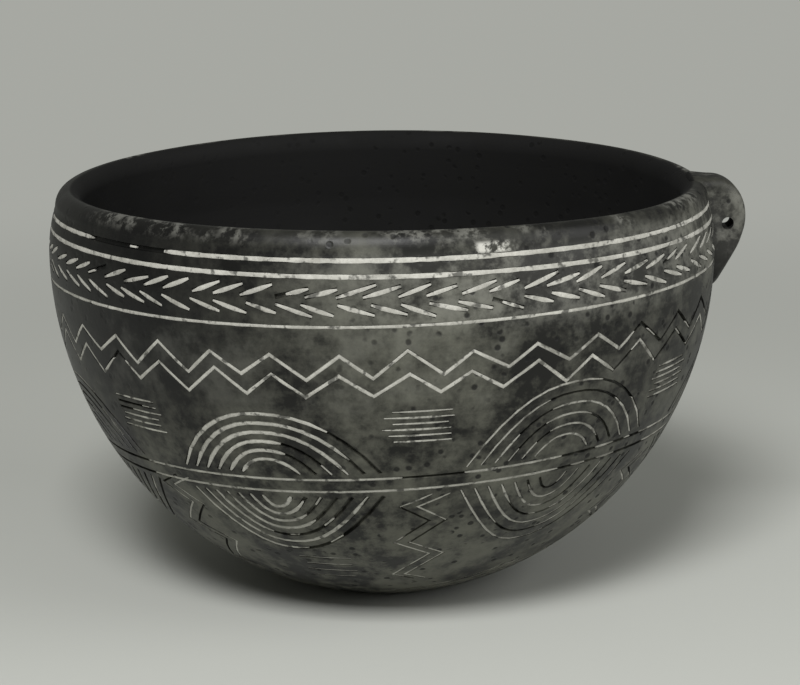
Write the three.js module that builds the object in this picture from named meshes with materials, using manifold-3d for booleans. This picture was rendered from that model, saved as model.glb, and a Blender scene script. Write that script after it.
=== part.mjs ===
// Incised bowl: a hand-built clay bowl with a rounded bottom, a pierced lug luted on at the
// rim, and white lime paste pressed into its cut lines. Millimetres, +Z up. The origin is the
// middle of the small flat that it rests on. Angles start at the front (-Y) and run towards +X.
import * as THREE from 'three';
import { mergeVertices } from 'three/addons/utils/BufferGeometryUtils.js';
import Module from 'manifold-3d';

const wasm = await Module();
wasm.setup();

// Bowl
const widestDiameter = 150;
const bowlHeight = 92;
const widestBelowRim = 15.2;
const mouthDrawIn = 1.6;
const restFaceDiameter = 39;
const wallThickness = 6;
const floorThickness = 8;
const lipHeight = 4.2;
const rimWave = 0.6;
const rimTilt = 0.25;

// Cut lines and the paste in them
const grooveWidth = 1.3;
const grooveDepth = 1;
const pasteClearance = 0.2;
const handDrift = 1;

// Rings round the bowl: how far below the rim each lies, and how much it climbs to the right
const ringLines = {
  rim_line_upper: { belowRim: 5.2, climb: 0.5 },
  rim_line_lower: { belowRim: 8.3, climb: 0.5 },
  band_line: { belowRim: 18.3, climb: 1.4 },
  belt_line_upper: { belowRim: 52.2, climb: 3 },
  belt_line_lower: { belowRim: 55.2, climb: 3 },
};

// Zigzags below the band line
const zigzagCount = 34;
const zigzagRise = 5;
const zigzagBelowBand = 8.2;
const zigzagSpacing = 4.2;

// Nested arcs that stand on the belt and hang from it
const arcGroupCount = 7;
const firstGroupAngle = -21;
const shownGroupStep = 54;
const arcsPerSide = 2;
const arcHalfWidth = 21.2;
const arcRise = 13;
const arcBeltGap = 2.4;
const arcWidthStep = 3;
const arcRiseStep = 2.1;

// Pierced lug
const lugHeight = 24.5;
const lugReach = 7;
const lugThickness = 11;
const lugEdgeRounding = 2.4;
const lugTopReach = 2.6;
const stringHoleDiameter = 2.8;
const stringHoleBelowRim = 10.6;
const stringHoleFromEdge = 3.4;
const luteGap = 0.3;

// Mesh steps
const stepsRound = 48;
const arcSteps = 6;
const lipSteps = 4;
const innerSteps = 6;
const cutLift = 0.6;

// Finishes
const burnishedClay = { color: 0x4a4a45, roughness: 0.45, metalness: 0 };
const limePaste = { color: 0xd9d8cf, roughness: 0.85, metalness: 0 };

// Sizes that follow from the driving sizes
const widestRadius = widestDiameter / 2;
const widestHeight = bowlHeight - widestBelowRim;
const lipStart = bowlHeight - lipHeight;
const restRadius = restFaceDiameter / 2;
const lowerReach = widestHeight / Math.sqrt(1 - (restRadius / widestRadius) ** 2);
const mouthShare = 1 - mouthDrawIn / widestRadius;
const upperReach = (lipStart - widestHeight) / Math.sqrt(1 - mouthShare ** 2);
const innerWidestRadius = widestRadius - wallThickness;
const innerReach = widestHeight - floorThickness;

function radians(degrees) {
  return degrees * Math.PI / 180;
}

function around(angle, radius, height) {
  return new THREE.Vector3(radius * Math.sin(angle), -radius * Math.cos(angle), height);
}

// The wall is two ellipse arcs that meet at the widest level
function ellipseRadius(widest, reach, height) {
  const share = (height - widestHeight) / reach;
  return widest * Math.sqrt(Math.max(0, 1 - share * share));
}

function outerRadius(height) {
  return ellipseRadius(widestRadius, height < widestHeight ? lowerReach : upperReach, height);
}

function innerRadius(height) {
  return ellipseRadius(innerWidestRadius, height < widestHeight ? innerReach : upperReach, height);
}

// Outward direction of the outer wall at a height
function wallNormal(angle, height) {
  const probe = 0.01;
  const slope = (outerRadius(height + probe) - outerRadius(height - probe)) / (2 * probe);
  return around(angle, 1, -slope).normalize();
}

function onWall(angle, height, lift = 0) {
  return around(angle, outerRadius(height), height).addScaledVector(wallNormal(angle, height), lift);
}

function rimRise(angle) {
  return rimWave * Math.cos(2 * angle) - rimTilt * Math.cos(angle);
}

// A line scratched by hand climbs towards the lug and falls away on the other side
function ringHeight(name, angle) {
  const { belowRim, climb } = ringLines[name];
  return bowlHeight - belowRim + handDrift * climb * Math.sin(angle);
}

// One ring of points after another, from the bottom of the outside to the bottom of the inside
function gridSolid(rings, firstPole, lastPole) {
  const points = [firstPole];
  for (const ring of rings) points.push(...ring);
  points.push(lastPole);
  const last = points.length - 1;
  const index = [];
  for (let i = 0; i < stepsRound; i += 1) {
    const next = (i + 1) % stepsRound;
    index.push(0, 1 + next, 1 + i);
    for (let row = 0; row + 1 < rings.length; row += 1) {
      const low = 1 + row * stepsRound;
      const high = low + stepsRound;
      index.push(low + i, low + next, high + next, low + i, high + next, high + i);
    }
    const top = 1 + (rings.length - 1) * stepsRound;
    index.push(top + i, top + next, last);
  }
  return geometryFrom(points, index);
}

function geometryFrom(points, index) {
  const geometry = new THREE.BufferGeometry();
  geometry.setAttribute('position', new THREE.Float32BufferAttribute(points.flatMap((p) => p.toArray()), 3));
  geometry.setIndex(index);
  return geometry;
}

function ring(pointAt) {
  return Array.from({ length: stepsRound }, (_, i) => pointAt(2 * Math.PI * i / stepsRound));
}

// Plain wall between two lines that may both drift, without its ends; the steps are even,
// or close together at the lower line where the wall there lies nearly flat
function wallBetween(lowerAt, upperAt, steps, flatBelow = false) {
  return Array.from({ length: steps - 1 }, (_, i) => ring((angle) => {
    const even = (i + 1) / steps;
    const share = flatBelow ? even ** 2 : even;
    return onWall(angle, THREE.MathUtils.lerp(lowerAt(angle), upperAt(angle), share));
  }));
}

function lineEdge(name, side) {
  return (angle) => ringHeight(name, angle) + side * grooveWidth / 2;
}

function ringGroove(name) {
  return [
    ring((angle) => onWall(angle, lineEdge(name, -1)(angle))),
    ring((angle) => onWall(angle, ringHeight(name, angle), -grooveDepth)),
    ring((angle) => onWall(angle, lineEdge(name, 1)(angle))),
  ];
}

function lipRings() {
  const outer = outerRadius(lipStart);
  const inner = innerRadius(lipStart);
  const middle = (outer + inner) / 2;
  const halfWall = (outer - inner) / 2;
  return Array.from({ length: lipSteps + 1 }, (_, i) => {
    const turn = Math.PI * i / lipSteps;
    return ring((angle) => {
      const rise = Math.sin(turn) * (lipHeight + rimRise(angle));
      return around(angle, middle + halfWall * Math.cos(turn), lipStart + rise);
    });
  });
}

// From the lip down to the floor, in even turns of the inner curve
function innerRings() {
  return Array.from({ length: innerSteps }, (_, i) => {
    const turn = Math.PI / 2 * i / innerSteps;
    const height = widestHeight - innerReach * Math.sin(turn);
    return ring((angle) => around(angle, innerWidestRadius * Math.cos(turn), height));
  });
}

function bowlGeometry() {
  const foot = () => 0;
  const rings = [
    ring((angle) => around(angle, restRadius, 0)),
    ...wallBetween(foot, lineEdge('belt_line_lower', -1), 6, true),
    ...ringGroove('belt_line_lower'),
    ...ringGroove('belt_line_upper'),
    ...wallBetween(lineEdge('belt_line_upper', 1), lineEdge('band_line', -1), 4),
    ...ringGroove('band_line'),
    ...wallBetween(lineEdge('band_line', 1), lineEdge('rim_line_lower', -1), 2),
    ...ringGroove('rim_line_lower'),
    ...ringGroove('rim_line_upper'),
    ...lipRings(),
    ...innerRings(),
  ];
  return gridSolid(rings, new THREE.Vector3(0, 0, 0), new THREE.Vector3(0, 0, floorThickness));
}

// A three-sided bar along a path on the wall: its flat side out, its edge in the groove
function barGeometry(path, halfWidth, depth, lift, closed) {
  const count = path.length;
  const points = [];
  path.forEach((spot, i) => {
    const before = path[closed ? (i - 1 + count) % count : Math.max(i - 1, 0)].point;
    const after = path[closed ? (i + 1) % count : Math.min(i + 1, count - 1)].point;
    const into = new THREE.Vector3().subVectors(spot.point, before).normalize();
    const out = new THREE.Vector3().subVectors(after, spot.point).normalize();
    const along = new THREE.Vector3().addVectors(into, out).normalize();
    const corner = Math.max(Math.hypot(...new THREE.Vector3().addVectors(into, out).toArray()) / 2, 0.5);
    const open = !closed && (i === 0 || i === count - 1);
    const side = new THREE.Vector3().crossVectors(spot.normal, along).normalize();
    side.multiplyScalar(open ? halfWidth : halfWidth / corner);
    points.push(
      spot.point.clone().addScaledVector(spot.normal, lift).sub(side),
      spot.point.clone().addScaledVector(spot.normal, lift).add(side),
      spot.point.clone().addScaledVector(spot.normal, -depth),
    );
  });
  const index = [];
  for (let i = 0; i < (closed ? count : count - 1); i += 1) {
    const here = 3 * i;
    const there = 3 * ((i + 1) % count);
    for (const [a, b] of [[0, 1], [1, 2], [2, 0]]) {
      index.push(here + a, there + b, here + b, here + a, there + a, there + b);
    }
  }
  if (!closed) {
    const last = 3 * (count - 1);
    index.push(0, 1, 2, last, last + 2, last + 1);
  }
  return geometryFrom(points, index);
}

// The groove's cutter stands out of the wall, so its sides are carried on at the same slope
function grooveCutter(path, closed) {
  const halfWidth = grooveWidth / 2 * (grooveDepth + cutLift) / grooveDepth;
  return barGeometry(path, halfWidth, grooveDepth, cutLift, closed);
}

// Paste fills the groove all but a thin clearance, which is measured square to its sides
function pasteBar(path, closed) {
  const halfAngle = Math.atan2(grooveWidth / 2, grooveDepth);
  const depth = grooveDepth - pasteClearance / Math.sin(halfAngle);
  return barGeometry(path, depth * Math.tan(halfAngle), depth, 0, closed);
}

function spotAt(angle, height) {
  return { point: onWall(angle, height), normal: wallNormal(angle, height) };
}

function ringPath(name) {
  return ring((angle) => spotAt(angle, ringHeight(name, angle)));
}

function zigzagPath(row) {
  return Array.from({ length: 2 * zigzagCount }, (_, i) => {
    const angle = Math.PI * i / zigzagCount;
    const middle = ringHeight('band_line', angle) - zigzagBelowBand - row * zigzagSpacing;
    return spotAt(angle, middle + (i % 2 ? -1 : 1) * zigzagRise / 2);
  });
}

function groupAngle(group) {
  if (group === 0) return firstGroupAngle;
  const restStep = (360 - shownGroupStep) / (arcGroupCount - 1);
  return firstGroupAngle + shownGroupStep + (group - 1) * restStep;
}

// An arc on the belt: side 1 stands on its upper line, side -1 hangs from its lower line
function arcPath(group, side, number) {
  const beltRadius = outerRadius(bowlHeight - ringLines.belt_line_upper.belowRim);
  const half = (arcHalfWidth - number * arcWidthStep) / beltRadius;
  const rise = arcRise - number * arcRiseStep;
  const belt = side > 0 ? 'belt_line_upper' : 'belt_line_lower';
  return Array.from({ length: arcSteps + 1 }, (_, i) => {
    const turn = Math.PI * i / arcSteps;
    const angle = radians(groupAngle(group)) - side * half * Math.cos(turn);
    const height = ringHeight(belt, angle) + side * (arcBeltGap + rise * Math.sin(turn));
    return spotAt(angle, height);
  });
}

function toSolid(geometry) {
  const bare = geometry.clone();
  bare.deleteAttribute('normal');
  bare.deleteAttribute('uv');
  const merged = mergeVertices(bare, 1e-4);
  const vertProperties = new Float32Array(merged.attributes.position.array);
  const triVerts = new Uint32Array(merged.index.array);
  return new wasm.Manifold(new wasm.Mesh({ numProp: 3, vertProperties, triVerts }));
}

function fromSolid(solid) {
  const mesh = solid.getMesh();
  const geometry = new THREE.BufferGeometry();
  geometry.setAttribute('position', new THREE.BufferAttribute(mesh.vertProperties, 3));
  geometry.setIndex(new THREE.BufferAttribute(mesh.triVerts, 1));
  return geometry;
}

// The lug is a flat ear in the plane of the bowl's axis, bored through for a string
function lugGeometry() {
  const top = bowlHeight + rimRise(Math.PI / 2) + cutLift;
  const foot = top - lugHeight;
  const reach = widestRadius + lugReach - lugEdgeRounding;
  const outline = new THREE.Shape();
  outline.moveTo(widestRadius - wallThickness, foot + lugEdgeRounding);
  outline.lineTo(widestRadius, foot + lugEdgeRounding);
  outline.quadraticCurveTo(reach - lugReach / 4, top - lugHeight * 0.72, reach, top - lugHeight * 0.45);
  outline.quadraticCurveTo(reach + lugReach / 8, top - lugHeight * 0.2, widestRadius + lugTopReach, top - lugEdgeRounding);
  outline.lineTo(widestRadius - wallThickness, top - lugEdgeRounding);
  outline.closePath();
  const depth = lugThickness - 2 * lugEdgeRounding;
  const plate = new THREE.ExtrudeGeometry(outline, {
    depth,
    curveSegments: 4,
    bevelEnabled: true,
    bevelSegments: 2,
    bevelSize: lugEdgeRounding,
    bevelThickness: lugEdgeRounding,
  });
  plate.translate(0, 0, -depth / 2);
  plate.rotateX(Math.PI / 2);
  const bore = new THREE.CylinderGeometry(stringHoleDiameter / 2, stringHoleDiameter / 2, 2 * lugThickness, 12);
  bore.translate(widestRadius + lugReach - stringHoleFromEdge, 0, bowlHeight - stringHoleBelowRim);
  const seat = gridSolid(seatRings(), new THREE.Vector3(0, 0, 0), new THREE.Vector3(0, 0, 2 * bowlHeight));
  return fromSolid(toSolid(plate).subtract(toSolid(bore)).subtract(toSolid(seat)));
}

// The bowl's outside, grown by the gap that the slip between lug and wall takes up
function seatRings() {
  const steps = 12;
  const wall = Array.from({ length: steps + 1 }, (_, i) => {
    const height = bowlHeight - lugHeight - lipHeight + (lugHeight) * i / steps;
    return ring((angle) => onWall(angle, height, luteGap));
  });
  const outer = outerRadius(lipStart);
  const middle = (outer + innerRadius(lipStart)) / 2;
  const lip = Array.from({ length: 4 }, (_, i) => {
    const turn = Math.PI / 2 * (i + 1) / 4;
    const radius = middle + (outer - middle + luteGap) * Math.cos(turn);
    return ring((angle) => {
      const rise = Math.sin(turn) * (lipHeight + rimRise(angle) + luteGap);
      return around(angle, Math.max(radius, 1), lipStart + rise);
    });
  });
  return [...wall, ...lip];
}

const group = new THREE.Group();

function addPiece(name, geometry, finish) {
  const mesh = new THREE.Mesh(geometry, new THREE.MeshStandardMaterial(finish));
  mesh.name = name;
  group.add(mesh);
}

const cutPaths = [];
const ringPaths = Object.keys(ringLines).map((name) => ({ name, path: ringPath(name), closed: true }));
['zigzag_upper', 'zigzag_lower'].forEach((name, row) => {
  cutPaths.push({ name, path: zigzagPath(row), closed: true });
});
for (let number = 0; number < arcGroupCount * arcsPerSide; number += 1) {
  const arcGroup = Math.floor(number / arcsPerSide);
  const arc = number % arcsPerSide;
  for (const [side, place] of [[1, 'above'], [-1, 'below']]) {
    const name = `arc_${place}_belt_${arcGroup + 1}_${arc + 1}`;
    cutPaths.push({ name, path: arcPath(arcGroup, side, arc), closed: false });
  }
}

const cutters = cutPaths.map(({ path, closed }) => toSolid(grooveCutter(path, closed)));
const bowl = cutters.reduce((solid, cutter) => solid.subtract(cutter), toSolid(bowlGeometry()));

addPiece('bowl_body', fromSolid(bowl), burnishedClay);
addPiece('rim_lug', lugGeometry(), burnishedClay);
for (const { name, path, closed } of [...ringPaths, ...cutPaths]) {
  addPiece(name, pasteBar(path, closed), limePaste);
}

export default group;
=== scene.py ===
"""A hand-built clay bowl with cut lines that are packed with white paste, and a pierced lug.

Lengths are metres. Angles round the bowl start at the front, at -Y, and run towards +X,
where the lug is. The bowl's width and the lug's place come from the frame's own boxes.
"""
import math
import random

import bmesh
import bpy
from mathutils import Matrix, Vector
from mathutils.noise import noise as noise_value


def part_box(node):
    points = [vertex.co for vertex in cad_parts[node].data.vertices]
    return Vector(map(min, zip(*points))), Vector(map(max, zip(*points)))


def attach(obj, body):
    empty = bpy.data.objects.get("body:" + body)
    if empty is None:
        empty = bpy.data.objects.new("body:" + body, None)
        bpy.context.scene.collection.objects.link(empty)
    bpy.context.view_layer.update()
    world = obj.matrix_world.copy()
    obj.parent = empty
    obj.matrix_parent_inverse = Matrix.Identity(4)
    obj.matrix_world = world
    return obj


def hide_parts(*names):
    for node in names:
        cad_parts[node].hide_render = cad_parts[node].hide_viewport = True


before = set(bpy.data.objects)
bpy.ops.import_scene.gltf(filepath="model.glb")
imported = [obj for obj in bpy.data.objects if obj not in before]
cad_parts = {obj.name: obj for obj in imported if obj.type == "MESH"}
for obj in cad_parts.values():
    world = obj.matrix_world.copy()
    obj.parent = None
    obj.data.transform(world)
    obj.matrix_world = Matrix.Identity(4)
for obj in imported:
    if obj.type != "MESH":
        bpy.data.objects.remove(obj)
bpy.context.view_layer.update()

# The camera
# It looks down a little on the bowl from in front, with the lug at the right, and leans
# a touch to one side.
photo_wide = 800
focal_in_pixels = 2618
camera_distance = 0.6
camera_elevation = math.radians(12.6)
camera_lean = math.radians(-0.58)
camera_aim = Vector((0.0036, 0, 0.0537))

camera_data = bpy.data.cameras.new("camera")
camera_data.sensor_width = 36
camera_data.lens = camera_data.sensor_width * focal_in_pixels / photo_wide
camera_data.clip_start = 0.01
camera = bpy.data.objects.new("camera", camera_data)
back = Vector((0, -math.cos(camera_elevation), math.sin(camera_elevation)))
turn = Matrix.Rotation(math.pi / 2 - camera_elevation, 4, "X") @ Matrix.Rotation(camera_lean, 4, "Z")
camera.matrix_world = Matrix.Translation(camera_aim + back * camera_distance) @ turn
bpy.context.scene.collection.objects.link(camera)
bpy.context.scene.camera = camera


# The clay bowl
# One wall of low-fired clay, built up by hand with a rounded bottom and a rounded lip,
# then rubbed with a pebble until it shone. It fired black above and olive grey below.
MM = 0.001
bowl_low, bowl_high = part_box("bowl_body")
widest_radius = (bowl_high.x - bowl_low.x) / 2
bowl_height = 92 * MM
widest_height = bowl_height - 15.2 * MM
lip_start = bowl_height - 4.2 * MM
mouth_draw_in = 1.6 * MM
rest_radius = 19.5 * MM
wall_thickness = 6 * MM
floor_thickness = 8 * MM
rim_wave = 0.6 * MM
rim_tilt = 0.25 * MM
foot_clearance = 0.05 * MM
# Slow swells of the wall: share of the radius, number in a turn, start, and twist with height
wall_swells = ((0.0022, 3, 0.7, 0), (0.0016, 5, 0, 38), (0.0012, 9, 0, -60))
lower_reach = widest_height / math.sqrt(1 - (rest_radius / widest_radius) ** 2)
upper_reach = (lip_start - widest_height) / math.sqrt(1 - (1 - mouth_draw_in / widest_radius) ** 2)
inner_radius = widest_radius - wall_thickness
inner_reach = widest_height - floor_thickness


def ellipse_radius(widest, reach, height):
    share = (height - widest_height) / reach
    return widest * math.sqrt(max(0, 1 - share * share))


def wall_radius(height):
    return ellipse_radius(widest_radius, lower_reach if height < widest_height else upper_reach, height)


def wall_point(angle, height, out=0.0):
    """A point on the outside of the wall, moved out along the wall's own normal."""
    probe = 0.01 * MM
    slope = (wall_radius(height + probe) - wall_radius(height - probe)) / (2 * probe)
    lean = math.hypot(1, slope)
    radius = wall_radius(height) + out / lean
    return Vector((radius * math.sin(angle), -radius * math.cos(angle), height - out * slope / lean))


def shaped_by_hand(bm):
    """No hand-built wall is quite round: the same slow swells move every piece alike."""
    for vert in bm.verts:
        x, y, z = vert.co
        angle = math.atan2(x, -y)
        climb = min(1, max(0, (z - widest_height) / (bowl_height - widest_height)))
        up = min(1, max(0, z / widest_height))
        swell = sum(size * math.sin(count * angle + start + twist * z)
                    for size, count, start, twist in wall_swells)
        vert.co.x = x * (1 + swell * up)
        vert.co.y = y * (1 + swell * up)
        vert.co.z = z + climb ** 2 * (rim_wave * math.cos(2 * angle) - rim_tilt * math.cos(angle))


def bowl_profile():
    """Half a section through the wall, from the middle of the foot over the lip to the floor."""
    low_steps, high_steps, lip_steps, inner_steps = 46, 12, 18, 44
    flat_rings = (0, 0.5, 0.93)
    points = [(rest_radius * share, 0) for share in flat_rings]
    foot_turn = math.asin(widest_height / lower_reach)
    for i in range(low_steps):
        turned = foot_turn * (1 - i / low_steps)
        height = widest_height - lower_reach * math.sin(turned)
        points.append((wall_radius(height), max(height, foot_clearance)))
    for i in range(high_steps):
        height = widest_height + (lip_start - widest_height) * i / high_steps
        points.append((wall_radius(height), height))
    outer = wall_radius(lip_start)
    inner = ellipse_radius(inner_radius, upper_reach, lip_start)
    middle, half = (outer + inner) / 2, (outer - inner) / 2
    for i in range(lip_steps + 1):
        turned = math.pi * i / lip_steps
        rise = (bowl_height - lip_start) * math.sin(turned)
        points.append((middle + half * math.cos(turned), lip_start + rise))
    for i in range(inner_steps):
        turned = math.pi / 2 * i / inner_steps
        points.append((inner_radius * math.cos(turned), widest_height - inner_reach * math.sin(turned)))
    points.append((0, floor_thickness))
    return points


def finished(name, bm, material, smooth=True):
    """Makes an object of a bmesh and gives it its material."""
    mesh = bpy.data.meshes.new(name)
    bm.to_mesh(mesh)
    bm.free()
    mesh.materials.append(material)
    piece = bpy.data.objects.new(name, mesh)
    bpy.context.scene.collection.objects.link(piece)
    if smooth:
        mesh.shade_smooth()
    return piece


class Shade:
    """A shader socket that takes part in sums, so that a mask is written as arithmetic."""

    def __init__(self, tree, socket):
        self.tree, self.socket = tree, socket

    def _join(self, operation, first, second=None):
        values = {0: first} if second is None else {0: first, 1: second}
        return node(self.tree, "ShaderNodeMath", {"operation": operation}, values)

    def __add__(self, other):
        return self._join("ADD", self, other)

    def __radd__(self, other):
        return self._join("ADD", other, self)

    def __sub__(self, other):
        return self._join("SUBTRACT", self, other)

    def __rsub__(self, other):
        return self._join("SUBTRACT", other, self)

    def __mul__(self, other):
        return self._join("MULTIPLY", self, other)

    def __rmul__(self, other):
        return self._join("MULTIPLY", other, self)

    def clamped(self):
        return node(self.tree, "ShaderNodeClamp", {}, {"Value": self})

    def between(self, low, high):
        """0 below low, 1 above high, and smooth in between."""
        return node(self.tree, "ShaderNodeMapRange", {"interpolation_type": "SMOOTHSTEP"},
                    {"Value": self, "From Min": low, "From Max": high})


def node(tree, kind, settings, sockets, output=0):
    """Any node: its settings first, then the values or links of its sockets."""
    made = tree.nodes.new(kind)
    for key, value in settings.items():
        setattr(made, key, value)
    for key, value in sockets.items():
        if isinstance(value, Shade):
            tree.links.new(value.socket, made.inputs[key])
        else:
            made.inputs[key].default_value = value
    return Shade(tree, made.outputs[output])


def blend_colours(tree, share, first, second):
    return node(tree, "ShaderNodeMix", {"data_type": "RGBA"}, {0: share, 6: first, 7: second}, 2)


def noise(tree, place, scale, detail=4.0, rough=0.55):
    return node(tree, "ShaderNodeTexNoise", {"noise_dimensions": "3D"},
                {"Vector": place, "Scale": scale, "Detail": detail, "Roughness": rough})


def new_material(name):
    material = bpy.data.materials.new(name)
    material.use_nodes = True
    tree = material.node_tree
    shader = tree.nodes["Principled BSDF"]
    place = node(tree, "ShaderNodeTexCoord", {}, {}, 3)
    return material, tree, shader, place


def feed(tree, shader, name, value):
    tree.links.new(value.socket, shader.inputs[name])


def place_on_bowl(tree, place):
    """The place's x, y and height, and its angle round the bowl."""
    split = tree.nodes.new("ShaderNodeSeparateXYZ")
    tree.links.new(place.socket, split.inputs[0])
    x, y, z = (Shade(tree, split.outputs[i]) for i in range(3))
    angle = node(tree, "ShaderNodeMath", {"operation": "ARCTAN2"}, {0: x, 1: y * -1.0})
    return x, y, z, angle


def make_clay():
    """Dark mottled clay. The limits of its zones are metres, in x, y and height."""
    material, tree, shader, place = new_material("burnished_clay")
    x, y, z, angle = place_on_bowl(tree, place)
    cloud = noise(tree, place, 22, 5, 0.6)
    mottle = noise(tree, place, 85, 6, 0.62)
    grain = noise(tree, place, 900, 4, 0.6)
    speckle = noise(tree, place, 330, 5, 0.7)
    # Rubbing left long faint streaks round the wall
    streaks_in_a_turn, streaks_up = 2.2, 420.0
    streak_place = node(tree, "ShaderNodeCombineXYZ", {},
                        {"X": angle * streaks_in_a_turn, "Y": z * streaks_up, "Z": 0.0})
    streak = noise(tree, streak_place, 1.0, 5, 0.6)
    dark = (0.008, 0.008, 0.007, 1)
    olive = (0.120, 0.120, 0.097, 1)
    grey = (0.10, 0.10, 0.09, 1)
    pale = (0.270, 0.268, 0.240, 1)
    jet = (0.005, 0.005, 0.005, 1)
    pit_black = (0.004, 0.004, 0.004, 1)
    chalk = (0.60, 0.59, 0.54, 1)
    # The two inside colours are soot, made darker still as painted shade inside the bowl
    soot_and_shade_dark = (0.0015, 0.0015, 0.0015, 1)
    soot_and_shade_light = (0.005, 0.005, 0.0045, 1)
    shade_mix = (cloud * 2.2 + mottle * 2.0 + speckle * 1.4 + streak * 0.6 - 2.85).clamped()
    colour = blend_colours(tree, shade_mix, dark, olive)
    # The left of the upper wall fired blackest; the lower wall is greyer all round
    black_side = (x * -1.0).between(-0.005, 0.055) * z.between(0.030, 0.070)
    colour = blend_colours(tree, black_side * 0.9, colour, jet)
    lower = 1.0 - z.between(0.012, 0.062)
    lower_blotches = lower * (mottle + speckle).between(0.86, 1.2)
    colour = blend_colours(tree, lower_blotches * 0.7, colour, olive)
    # Paste rubbed into the surface leaves a whitish bloom between the rim and the band line
    band = z.between(0.070, 0.0765) * (1.0 - z.between(0.0868, 0.0905))
    bloom = band * x.between(-0.030, 0.030) * (0.2 + 0.8 * (mottle + speckle).between(0.84, 1.18))
    bloom = bloom * (1.0 - y.between(-0.010, 0.012))
    colour = blend_colours(tree, bloom * 0.34, colour, pale)
    zigzag_zone = z.between(0.052, 0.058) * (1.0 - z.between(0.070, 0.074))
    colour = blend_colours(tree, zigzag_zone * mottle.between(0.5, 0.66) * 0.28, colour, grey)
    # The lip is dark, and worn paler in places
    lip = z.between(0.0885, 0.0915)
    worn = noise(tree, place, 55, 4).between(0.5, 0.6) * speckle.between(0.45, 0.6)
    colour = blend_colours(tree, lip * 0.6, colour, dark)
    colour = blend_colours(tree, lip * worn * 0.4, colour, pale)
    # A smear of paste lies on the shoulder, a little right of the middle
    smear_across = x.between(0.018, 0.020) * (1.0 - x.between(0.024, 0.028))
    smear_up = z.between(0.0872, 0.0882) * (1.0 - z.between(0.0892, 0.0902))
    in_front = (0.0 - y).between(0.05, 0.06)
    smear = smear_across * in_front * smear_up * speckle.between(0.42, 0.56)
    colour = blend_colours(tree, smear * 0.9, colour, chalk)
    # Small pits, most of them at the right and low down
    pit_cells = node(tree, "ShaderNodeTexVoronoi", {"feature": "F1"}, {"Vector": place, "Scale": 340.0})
    pit_choice = noise(tree, place, 160, 2).between(0.44, 0.52)
    pit_zone = x.between(-0.03, 0.02) + 0.6 * lower
    pit = ((1.0 - pit_cells.between(0.14, 0.30)) * pit_choice * (0.25 + 0.75 * pit_zone)).clamped()
    colour = blend_colours(tree, pit * 0.85, colour, pit_black)
    # Inside, the bowl is sooty black, and its colour is darkened further as painted shade of the hollow
    normal = node(tree, "ShaderNodeNewGeometry", {}, {}, 1)
    out = node(tree, "ShaderNodeCombineXYZ", {}, {"X": x, "Y": y, "Z": 0.0})
    out = node(tree, "ShaderNodeVectorMath", {"operation": "NORMALIZE"}, {0: out})
    facing = node(tree, "ShaderNodeVectorMath", {"operation": "DOT_PRODUCT"}, {0: normal, 1: out}, 1)
    inside = (facing * -1.0).between(0.05, 0.45) * z.between(0.007, 0.0085)
    soot_and_shade = blend_colours(tree, mottle, soot_and_shade_dark, soot_and_shade_light)
    colour = blend_colours(tree, inside, colour, soot_and_shade)
    feed(tree, shader, "Base Color", colour)
    rough = 0.30 + 0.30 * mottle + 0.14 * bloom + 0.2 * pit - 0.10 * black_side + 0.42 * inside
    feed(tree, shader, "Roughness", rough.clamped())
    relief = grain * 0.10 + mottle * 0.35 + speckle * 0.25 + streak * 0.28 - pit * 1.2
    bump = node(tree, "ShaderNodeBump", {}, {"Strength": 0.35, "Distance": 0.0004, "Height": relief})
    feed(tree, shader, "Normal", bump)
    # Low-fired clay shines less than glass
    shader.inputs["Specular IOR Level"].default_value = 0.26
    return material


clay = make_clay()
steps_round = 232
bowl_bm = bmesh.new()
profile = [bowl_bm.verts.new((0, -radius, height)) for radius, height in bowl_profile()]
profile_edges = [bowl_bm.edges.new(pair) for pair in zip(profile, profile[1:])]
bmesh.ops.spin(bowl_bm, geom=profile + profile_edges, axis=(0, 0, 1), cent=(0, 0, 0),
               angle=2 * math.pi, steps=steps_round, use_merge=True)
bmesh.ops.remove_doubles(bowl_bm, verts=bowl_bm.verts, dist=0.01 * MM)
bmesh.ops.recalc_face_normals(bowl_bm, faces=bowl_bm.faces)
shaped_by_hand(bowl_bm)
bowl = finished("clay_bowl", bowl_bm, clay)
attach(bowl, "root")
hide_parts("bowl_body")


# The cut lines and their paste
# Every line was cut with a point before firing, then packed with white lime paste. Each
# cut is a real groove in the wall, and its paste is a separate piece that sits a hair below
# the surface. The paste has fallen out of many lines.

# Both sections are given across the line and out of the wall. Each line scales their width.
cut_section = ((-0.40 * MM, -0.8 * MM), (0.40 * MM, -0.8 * MM),
               (0.78 * MM, 0.5 * MM), (-0.78 * MM, 0.5 * MM))
paste_section = ((-0.34 * MM, -0.72 * MM), (0.34 * MM, -0.72 * MM), (0.56 * MM, -0.10 * MM),
                 (0.0, -0.03 * MM), (-0.56 * MM, -0.10 * MM))
# How far each ring lies below the rim, and how much it climbs towards the lug, both in mm
ring_lines = {
    "rim_line_upper": (5.2, 0.5),
    "rim_line_lower": (8.3, 0.5),
    "band_line": (18.3, 1.4),
    "belt_line_upper": (52.2, 3.0),
    "belt_line_lower": (55.2, 3.0),
}
# Angles are degrees
lug_angle = 90
lug_half_angle = 5.5
ring_step = 1.6
ring_opening = 0.4
lug_foot_height = 66 * MM
sharpest_mitre = 0.6
point_width = 0.45
deepest_sink = 0.25 * MM
paste_crease = math.radians(50)
cut_crease = math.radians(32)
chance = random.Random(11)


def ring_height(name, degrees):
    below, climb = ring_lines[name]
    return bowl_height - below * MM + climb * MM * math.sin(math.radians(degrees))


def station(degrees, height):
    return math.radians(degrees), height


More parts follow.
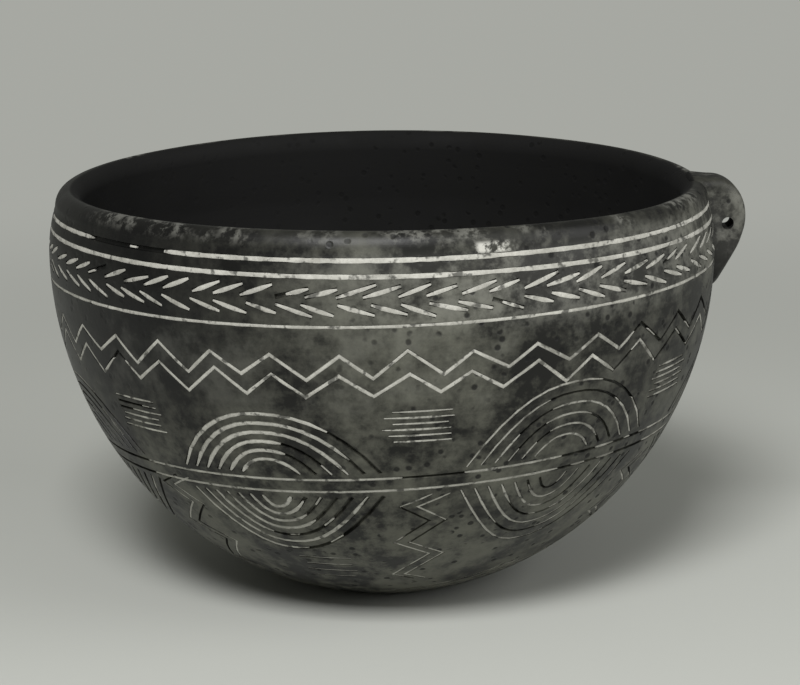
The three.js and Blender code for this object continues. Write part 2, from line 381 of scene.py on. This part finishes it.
def path_frames(stations):
    """Where each station lies on the wall, which way is across the line, and which is out."""
    spots = [wall_point(angle, height) for angle, height in stations]
    outs = [(wall_point(angle, height, MM) - spot).normalized()
            for (angle, height), spot in zip(stations, spots)]
    frames = []
    for i, (spot, out) in enumerate(zip(spots, outs)):
        before, after = spots[max(i - 1, 0)], spots[min(i + 1, len(spots) - 1)]
        arriving = (spot - before).normalized() if i else (after - spot).normalized()
        leaving = (after - spot).normalized() if i + 1 < len(spots) else arriving
        along = (arriving + leaving).normalized()
        mitre = max(sharpest_mitre, (arriving + leaving).length / 2)
        frames.append((spot, out.cross(along).normalized() / mitre, out))
    return frames


def lay_strip(bm, stations, section, width, wobble=0.0):
    """Extrudes a section from station to station along a line on the wall.

    A wobble makes the strip uneven and draws its two ends to points.
    """
    frames = path_frames(stations)

    def places(i):
        spot, across, out = frames[i]
        ends = point_width if wobble and i in (0, len(frames) - 1) else 1
        size = width * ends * (1 + wobble * chance.uniform(-1, 1))
        sink = wobble * deepest_sink * chance.uniform(-1, 0.3)
        return [spot + across * a * size + out * (o + sink) for a, o in section]

    here = places(0)
    end = bm.faces.new([bm.verts.new(place) for place in here])
    for i in range(1, len(frames)):
        grown = bmesh.ops.extrude_face_region(bm, geom=[end])["geom"]
        if i > 1:
            bm.faces.remove(end)
        end = next(part for part in grown if isinstance(part, bmesh.types.BMFace))
        there = places(i)
        for vert in end.verts:
            nearest = min(range(len(here)), key=lambda k: (vert.co - here[k]).length_squared)
            vert.co = there[nearest]
        here = there


def walk(first, last, step, height_at):
    count = max(2, round(abs(last - first) / step) + 1)
    turns = [first + (last - first) * i / (count - 1) for i in range(count)]
    return [station(turned, height_at(turned)) for turned in turns]


def straight(first, last, parts=3):
    """A short stroke between two places, each given as degrees and height."""
    across, up = last[0] - first[0], last[1] - first[1]
    return [station(first[0] + across * i / parts, first[1] + up * i / parts) for i in range(parts + 1)]


def ring_stroke(name):
    """A ring as high as the lug starts at one side of it and ends at the other."""
    meets_lug = bowl_height - ring_lines[name][0] * MM > lug_foot_height
    start = lug_angle - 360 + (lug_half_angle if meets_lug else 0)
    end = lug_angle - (lug_half_angle if meets_lug else ring_opening)
    return walk(start, end, ring_step, lambda turned: ring_height(name, turned))


zigzag_count = 34
zigzag_rise = 5 * MM
zigzag_below_band = 8.2 * MM
zigzag_spacing = 4.2 * MM
zigzag_start = lug_angle - 359
zigzag_reach = 358.6


def zigzag_stroke(row):
    """One sharp zigzag round the bowl, a little uneven at each corner."""
    corners = []
    for i in range(2 * zigzag_count):
        turned = zigzag_start + zigzag_reach * i / (2 * zigzag_count - 1)
        middle = ring_height("band_line", turned) - (zigzag_below_band + zigzag_spacing * row)
        jitter = chance.uniform(-0.6, 0.6) * MM
        swing = (1 if i % 2 else -1) * zigzag_rise / 2
        corners.append((turned + chance.uniform(-0.5, 0.5), middle + swing + jitter))
    path = []
    for first, last in zip(corners, corners[1:]):
        path += straight(first, last, 3)[:-1]
    return path + [station(*corners[-1])]


chevron_count = 70
chevron_pitch = 4.9
chevron_length = 5.6
chevron_rise = 2.2 * MM
chevron_parting = 0.75 * MM
chevron_start = lug_angle - 352
chevron_lift = 0.2 * MM


def herringbone(row):
    """Short slanting strokes; the two rows make chevrons that point to the left."""
    strokes = []
    side = 1 if row == 0 else -1
    for i in range(chevron_count):
        turned = chevron_start + i * chevron_pitch + chance.uniform(-0.7, 0.7)
        above, below = ring_height("rim_line_lower", turned), ring_height("band_line", turned)
        middle = (above + below) / 2 + chevron_lift
        lean = (chevron_rise + chance.uniform(-0.5, 0.5) * MM) * side
        start = middle + chevron_parting * side
        end = turned + chevron_length + chance.uniform(-0.8, 0.6)
        strokes.append(straight((turned, start), (end, start + lean)))
    return strokes


arc_groups = [-21, 33, 84, 135, 186, 237, 288]
arc_rise_share = [1.0, 1.15, 1.0, 1.05, 0.95, 1.0, 1.0]
arc_half_width = 21.2 * MM
arc_width_step = 3 * MM
arc_belt_gap = 1.3 * MM
arc_steps = 14
# A crown is flatter than a parabola's, and the right limb runs out farther
arc_crown_power = 2.3
right_limb_share = 1.12
# Number of arcs, rise of the outermost one and step to the next, above and below the belt
arc_sets = {1: (6, 14 * MM, 2.1 * MM), -1: (7, 14.5 * MM, 1.95 * MM)}


def arcs(group, side):
    """Nested arcs that stand on the belt, or hang from it, each drawn in one sweep."""
    middle, share = arc_groups[group], arc_rise_share[group]
    belt = "belt_line_upper" if side > 0 else "belt_line_lower"
    belt_radius = wall_radius(bowl_height - ring_lines[belt][0] * MM)
    count, tallest, rise_step = arc_sets[side]
    strokes = []
    for i in range(count):
        half = math.degrees((arc_half_width - arc_width_step * i) / belt_radius)
        rise = (tallest - rise_step * i) * share
        path = []
        for k in range(arc_steps + 1):
            across = 2 * k / arc_steps - 1
            reach = half * (right_limb_share if across > 0 else 1.0)
            turned = middle + reach * across
            crown = 1 - abs(across) ** arc_crown_power
            height = ring_height(belt, turned) + side * (arc_belt_gap + rise * crown)
            path.append(station(turned, height))
        strokes.append(path)
    return strokes


dash_climb = 0.25 * MM


def dashes(middle, half, top, gap, count):
    """A block of near level strokes, one below the other."""
    strokes = []
    for i in range(count):
        height = top - i * gap
        start = (middle - half + chance.uniform(-1, 1), height)
        end = (middle + half + chance.uniform(-1, 1), height + dash_climb)
        strokes.append(straight(start, end))
    return strokes


# The corners of an upright zigzag: degrees from its middle, and height in mm
upright_corners = [(3, 35.6), (-3, 32.5), (3, 28.6), (-4, 22.6), (4.5, 18.8), (-4, 12.0), (6, 9.2)]


def upright_zigzag(middle, shift):
    """Runs down from the belt towards the foot, swinging wider as it goes."""
    path = []
    for (first, high), (last, low) in zip(upright_corners, upright_corners[1:]):
        path += straight((middle + shift + first, high * MM), (middle + shift + last, low * MM), 3)[:-1]
    return path


# How much of the paste has stayed in a line: from and to which angle, and the share kept.
# The first stretch that holds a place counts.
all_round = (-400, 400)
rim_hold = ((-56, -38, 0.05), (-400, -30, 0.62), (*all_round, 0.95))
lower_rim_hold = ((*all_round, 0.96),)
band_hold = ((60, 84, 0.45), (*all_round, 0.95))
zigzag_hold = ((42, 84, 0.55), (*all_round, 0.93))
belt_hold = ((-100, -52, 0.1), (34, 84, 0.4), (*all_round, 0.93))
chevron_hold = ((*all_round, 0.9),)
dash_hold = ((*all_round, 0.85),)
upright_hold = ((*all_round, 0.66),)
# The left limbs of the first group are the best kept of all
group_holds = [((-400, arc_groups[0] + 4, 0.97), (*all_round, 0.6))]
group_holds += [((*all_round, share),) for share in (0.68, 0.6, 0.7, 0.6, 0.7, 0.5)]
# The losses come in patches, set by noise at these scales
patches_per_radian = 6.0
patches_per_metre = 260.0
patch_shift = 3.7
fine_patches = 3.1


def share_kept(hold, degrees):
    return next(share for first, last, share in hold if first < degrees < last)


def kept_runs(stations, hold, seed):
    """Splits a line into the stretches where the paste has stayed in."""
    runs, run = [], []
    for angle, height in stations:
        place = Vector((angle * patches_per_radian, height * patches_per_metre, seed * patch_shift))
        value = 0.5 + 0.62 * noise_value(place) + 0.2 * noise_value(place * fine_patches)
        if value < share_kept(hold, math.degrees(angle)):
            run.append((angle, height))
        else:
            runs.append(run)
            run = []
    runs.append(run)
    return [run for run in runs if len(run) > 1]


# Widths are shares of the two sections' own width
rim_width, ring_width, zigzag_width, chevron_width = 0.85, 0.62, 0.66, 0.82
group_widths = [0.8, 0.5, 0.6, 0.7, 0.6, 0.7, 0.6]
dash_width, fine_width, base_width = 0.5, 0.45, 0.7

# Each line: the name of its piece, the solids it stands for, its strokes, how much of its
# paste has stayed, the round of cutting it belongs to, and its width. Lines that touch or
# cross are cut in different rounds.
lines = []
for name, hold in (("rim_line_upper", rim_hold), ("rim_line_lower", lower_rim_hold),
                   ("band_line", band_hold), ("belt_line_upper", belt_hold),
                   ("belt_line_lower", belt_hold)):
    width = rim_width if name.startswith("rim") else ring_width
    lines.append((f"paste_{name}", [name], [ring_stroke(name)], hold, 1, width))
for row, name in enumerate(("zigzag_upper", "zigzag_lower")):
    lines.append((f"paste_{name}", [name], [zigzag_stroke(row)], zigzag_hold, 1, zigzag_width))
for row, name in enumerate(("upper", "lower")):
    lines.append((f"paste_chevrons_{name}", [], herringbone(row), chevron_hold, 2 + row, chevron_width))
for group, (hold, width) in enumerate(zip(group_holds, group_widths)):
    for side, place in ((1, "above"), (-1, "below")):
        nodes = [f"arc_{place}_belt_{group + 1}_{number}" for number in (1, 2)]
        name = f"paste_arcs_{place}_belt_{group + 1}"
        lines.append((name, nodes, arcs(group, side), hold, 4, width))

# Between two arc groups stands a block of dashes, with an upright zigzag pair below the belt
last_block_middle = -47
block_middles = [first + (second - first) / 2 for first, second in zip(arc_groups, arc_groups[1:])]
block_middles.append(last_block_middle)
block_half_width = 5.2
block_above_belt = 15.2 * MM
block_gap = 1.35 * MM
block_count = 6
pair_shift = 3.4
for number, middle in enumerate(block_middles, 1):
    top = ring_height("belt_line_upper", middle) + block_above_belt
    block = dashes(middle, block_half_width, top, block_gap, block_count)
    lines.append((f"paste_dashes_{number}", [], block, dash_hold, 2, dash_width))
    pair = [upright_zigzag(middle, 0), upright_zigzag(middle, pair_shift)]
    lines.append((f"paste_upright_zigzags_{number}", [], pair, upright_hold, 3, fine_width))

low_middle, low_half_width, low_top, low_gap, low_count = -15, 6.5, 17.2 * MM, 2.1 * MM, 4
low_block = dashes(low_middle, low_half_width, low_top, low_gap, low_count)
lines.append(("paste_low_dashes", [], low_block, dash_hold, 3, fine_width))

# Two long lines climb to the right just above the foot: degrees, and height in mm
base_places = [(-14, 1.6), (6.4, 2.9), (22.1, 4.9), (40.3, 8.6), (60, 10.0)]
base_line_gap = 1.9 * MM
base_parts = 8
base_lines = []
for lift in (0, base_line_gap):
    sweep = []
    for (first, low), (last, high) in zip(base_places, base_places[1:]):
        sweep += straight((first, low * MM + lift), (last, high * MM + lift), base_parts)[:-1]
    base_lines.append(sweep)
lines.append(("paste_base_lines", [], base_lines, dash_hold, 5, base_width))


def make_paste():
    material, tree, shader, place = new_material("lime_paste")
    crumbs = noise(tree, place, 1300, 5, 0.7)
    stain = noise(tree, place, 160, 4, 0.6)
    chalk = (0.56, 0.55, 0.50, 1)
    dirty = (0.20, 0.195, 0.170, 1)
    bare = (0.030, 0.030, 0.025, 1)
    darker_paste = (0.085, 0.083, 0.068, 1)
    colour = blend_colours(tree, (crumbs + stain * 1.6 - 0.90).clamped(), chalk, dirty)
    worn = noise(tree, place, 420, 3).between(0.54, 0.66)
    colour = blend_colours(tree, worn * 0.8, colour, bare)
    # It is darker at the right below the band, and a little near the foot
    x, y, z, angle = place_on_bowl(tree, place)
    right_below_band = x.between(0.012, 0.045) * (1.0 - z.between(0.066, 0.074))
    near_foot = 1.0 - z.between(0.010, 0.034)
    darker_share = right_below_band * 0.62 + near_foot * 0.15
    darker_share = darker_share * noise(tree, place, 240, 4).between(0.36, 0.62)
    colour = blend_colours(tree, darker_share.clamped(), colour, darker_paste)
    feed(tree, shader, "Base Color", colour)
    feed(tree, shader, "Roughness", (0.72 + 0.25 * crumbs).clamped())
    bump = node(tree, "ShaderNodeBump", {},
                {"Strength": 0.6, "Distance": 0.00015, "Height": crumbs + stain})
    feed(tree, shader, "Normal", bump)
    return material


paste = make_paste()
paste_wobble = 0.2
cutters = {}
for name, nodes, strokes, hold, cut_round, width in lines:
    if cut_round not in cutters:
        cutters[cut_round] = bmesh.new()
    paste_bm = bmesh.new()
    for number, stroke in enumerate(strokes):
        lay_strip(cutters[cut_round], stroke, cut_section, width)
        for run in kept_runs(stroke, hold, number + cut_round):
            lay_strip(paste_bm, run, paste_section, width, paste_wobble)
    bmesh.ops.recalc_face_normals(paste_bm, faces=paste_bm.faces)
    shaped_by_hand(paste_bm)
    piece = finished(name, paste_bm, paste)
    piece.data.set_sharp_from_angle(angle=paste_crease)
    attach(piece, "root")
    if nodes:
        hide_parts(*nodes)


def cut_away(piece, cutter_bm, name):
    """Cuts a shape out of a piece for good, and drops the cutter."""
    bmesh.ops.recalc_face_normals(cutter_bm, faces=cutter_bm.faces)
    cutter = finished(name, cutter_bm, clay)
    cut = piece.modifiers.new(name, "BOOLEAN")
    cut.operation = "DIFFERENCE"
    cut.solver = "MANIFOLD"
    cut.object = cutter
    bpy.context.view_layer.update()
    shown = piece.evaluated_get(bpy.context.evaluated_depsgraph_get())
    cut_mesh = bpy.data.meshes.new_from_object(shown)
    piece.modifiers.clear()
    old = piece.data
    piece.data = cut_mesh
    cut_mesh.name = old.name
    bpy.data.meshes.remove(old)
    bpy.data.objects.remove(cutter)


for cut_round, cutter in sorted(cutters.items()):
    shaped_by_hand(cutter)
    cut_away(bowl, cutter, f"cuts_{cut_round}")
bowl.data.shade_smooth()
bowl.data.set_sharp_from_angle(angle=cut_crease)


# The pierced lug
# A flat ear of the same clay, pinched out by hand, luted on to the rim and the wall with
# slip, and bored through with a stick so that the bowl could hang from a string.
lug_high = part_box("rim_lug")[1]
lug_reach = lug_high.x
lug_top = lug_high.z
lug_crease = math.radians(38)
lug_half_thickness = 4.4 * MM
lug_edge_rounding = 1.7 * MM
skin_size = 0.4 * MM
hole_radius = 1.4 * MM
hole_x = widest_radius + 2.7 * MM
hole_height = bowl_height - 10.6 * MM
# The ear's outline in mm: in from its farthest reach, and up from its top
ear = [(-13.5, 0.5), (-10.5, -0.2), (-6.0, -0.1), (-2.6, -2.3), (-0.5, -6.0), (-0.1, -10.5),
       (-1.6, -15.5), (-4.2, -20.0), (-7.2, -24.8), (-11.5, -26.0), (-12.5, -12.0)]
lug_bm = bmesh.new()
corners = [lug_bm.verts.new((lug_reach + inward * MM, -lug_half_thickness, lug_top + up * MM))
           for inward, up in ear]
face = lug_bm.faces.new(corners)
grown = bmesh.ops.extrude_face_region(lug_bm, geom=[face])["geom"]
far_side = [part for part in grown if isinstance(part, bmesh.types.BMVert)]
bmesh.ops.translate(lug_bm, verts=far_side, vec=(0, 2 * lug_half_thickness, 0))
bmesh.ops.recalc_face_normals(lug_bm, faces=lug_bm.faces)
bmesh.ops.bevel(lug_bm, geom=lug_bm.edges[:], offset=lug_edge_rounding, segments=3, profile=0.5,
                affect="EDGES", material=-1)
# It is thin at its edge and spreads where it meets the wall
thin_share, spread, spread_power = 0.86, 0.62, 2.2
spread_length = 10 * MM
for vert in lug_bm.verts:
    share = min(1, max(0, (lug_reach - vert.co.x) / spread_length))
    vert.co.y *= thin_share + spread * share ** spread_power
lug = finished("clay_lug", lug_bm, clay)
remesh = lug.modifiers.new("even_skin", "REMESH")
remesh.mode = "VOXEL"
remesh.voxel_size = skin_size
soften = lug.modifiers.new("softened", "SMOOTH")
soften.factor = 0.5
soften.iterations = 7
bore_bm = bmesh.new()
bore_place = Matrix.Translation((hole_x, 0, hole_height)) @ Matrix.Rotation(math.pi / 2, 4, "X")
bmesh.ops.create_cone(bore_bm, cap_ends=True, segments=28, radius1=hole_radius,
                      radius2=hole_radius, depth=40 * MM, matrix=bore_place)
cut_away(lug, bore_bm, "string_hole")
lug.data.shade_smooth()
lug.data.set_sharp_from_angle(angle=lug_crease)
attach(lug, "root")
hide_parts("rim_lug")


# The floor and the light
# A plain pale floor that fades into an even backdrop, a broad soft light from in front and
# above, a touch to the left, and a weaker one from the right.
floor_bm = bmesh.new()
bmesh.ops.create_grid(floor_bm, x_segments=1, y_segments=1, size=4.0)
floor_material = bpy.data.materials.new("pale_floor")
floor_material.use_nodes = True
floor_tree = floor_material.node_tree
floor_shader = floor_tree.nodes["Principled BSDF"]
floor_shader.inputs["Base Color"].default_value = (0.50, 0.51, 0.475, 1)
floor_shader.inputs["Roughness"].default_value = 0.95
backdrop = (0.385, 0.392, 0.362, 1)
fade_start, fade_end = 0.10, 0.55
floor_place = node(floor_tree, "ShaderNodeTexCoord", {}, {}, 3)
distance = node(floor_tree, "ShaderNodeVectorMath", {"operation": "LENGTH"}, {0: floor_place}, 1)
camera_ray = node(floor_tree, "ShaderNodeLightPath", {}, {})
glow = node(floor_tree, "ShaderNodeEmission", {}, {"Color": backdrop, "Strength": 1.0})
plain = Shade(floor_tree, floor_shader.outputs[0])
faded_share = distance.between(fade_start, fade_end) * camera_ray
mixed = node(floor_tree, "ShaderNodeMixShader", {}, {0: faded_share, 1: plain, 2: glow})
floor_tree.links.new(mixed.socket, floor_tree.nodes["Material Output"].inputs["Surface"])
stage_floor = finished("stage_floor", floor_bm, floor_material, smooth=False)

# The camera sees the backdrop at its own colour; the bowl gets less light from it
room_light = 0.42
world = bpy.data.worlds.new("studio")
bpy.context.scene.world = world
world.use_nodes = True
sky = world.node_tree.nodes["Background"]
sky.inputs["Color"].default_value = backdrop
sky_camera_ray = node(world.node_tree, "ShaderNodeLightPath", {}, {})
sky_strength = room_light + (1.0 - room_light) * sky_camera_ray
world.node_tree.links.new(sky_strength.socket, sky.inputs["Strength"])


lamp_aim = Vector((0, 0, 0.05))


def soft_lamp(name, place, size, watts):
    data = bpy.data.lights.new(name, "AREA")
    data.shape = "SQUARE"
    data.size = size
    data.energy = watts
    lamp = bpy.data.objects.new(name, data)
    lamp.location = place
    lamp.rotation_euler = (lamp_aim - Vector(place)).to_track_quat("-Z", "Y").to_euler()
    bpy.context.scene.collection.objects.link(lamp)


soft_lamp("key", (-0.12, -0.75, 0.80), 0.34, 11.0)
soft_lamp("fill", (0.75, -0.35, 0.45), 0.6, 3.0)

bpy.context.scene.view_settings.view_transform = "Standard"
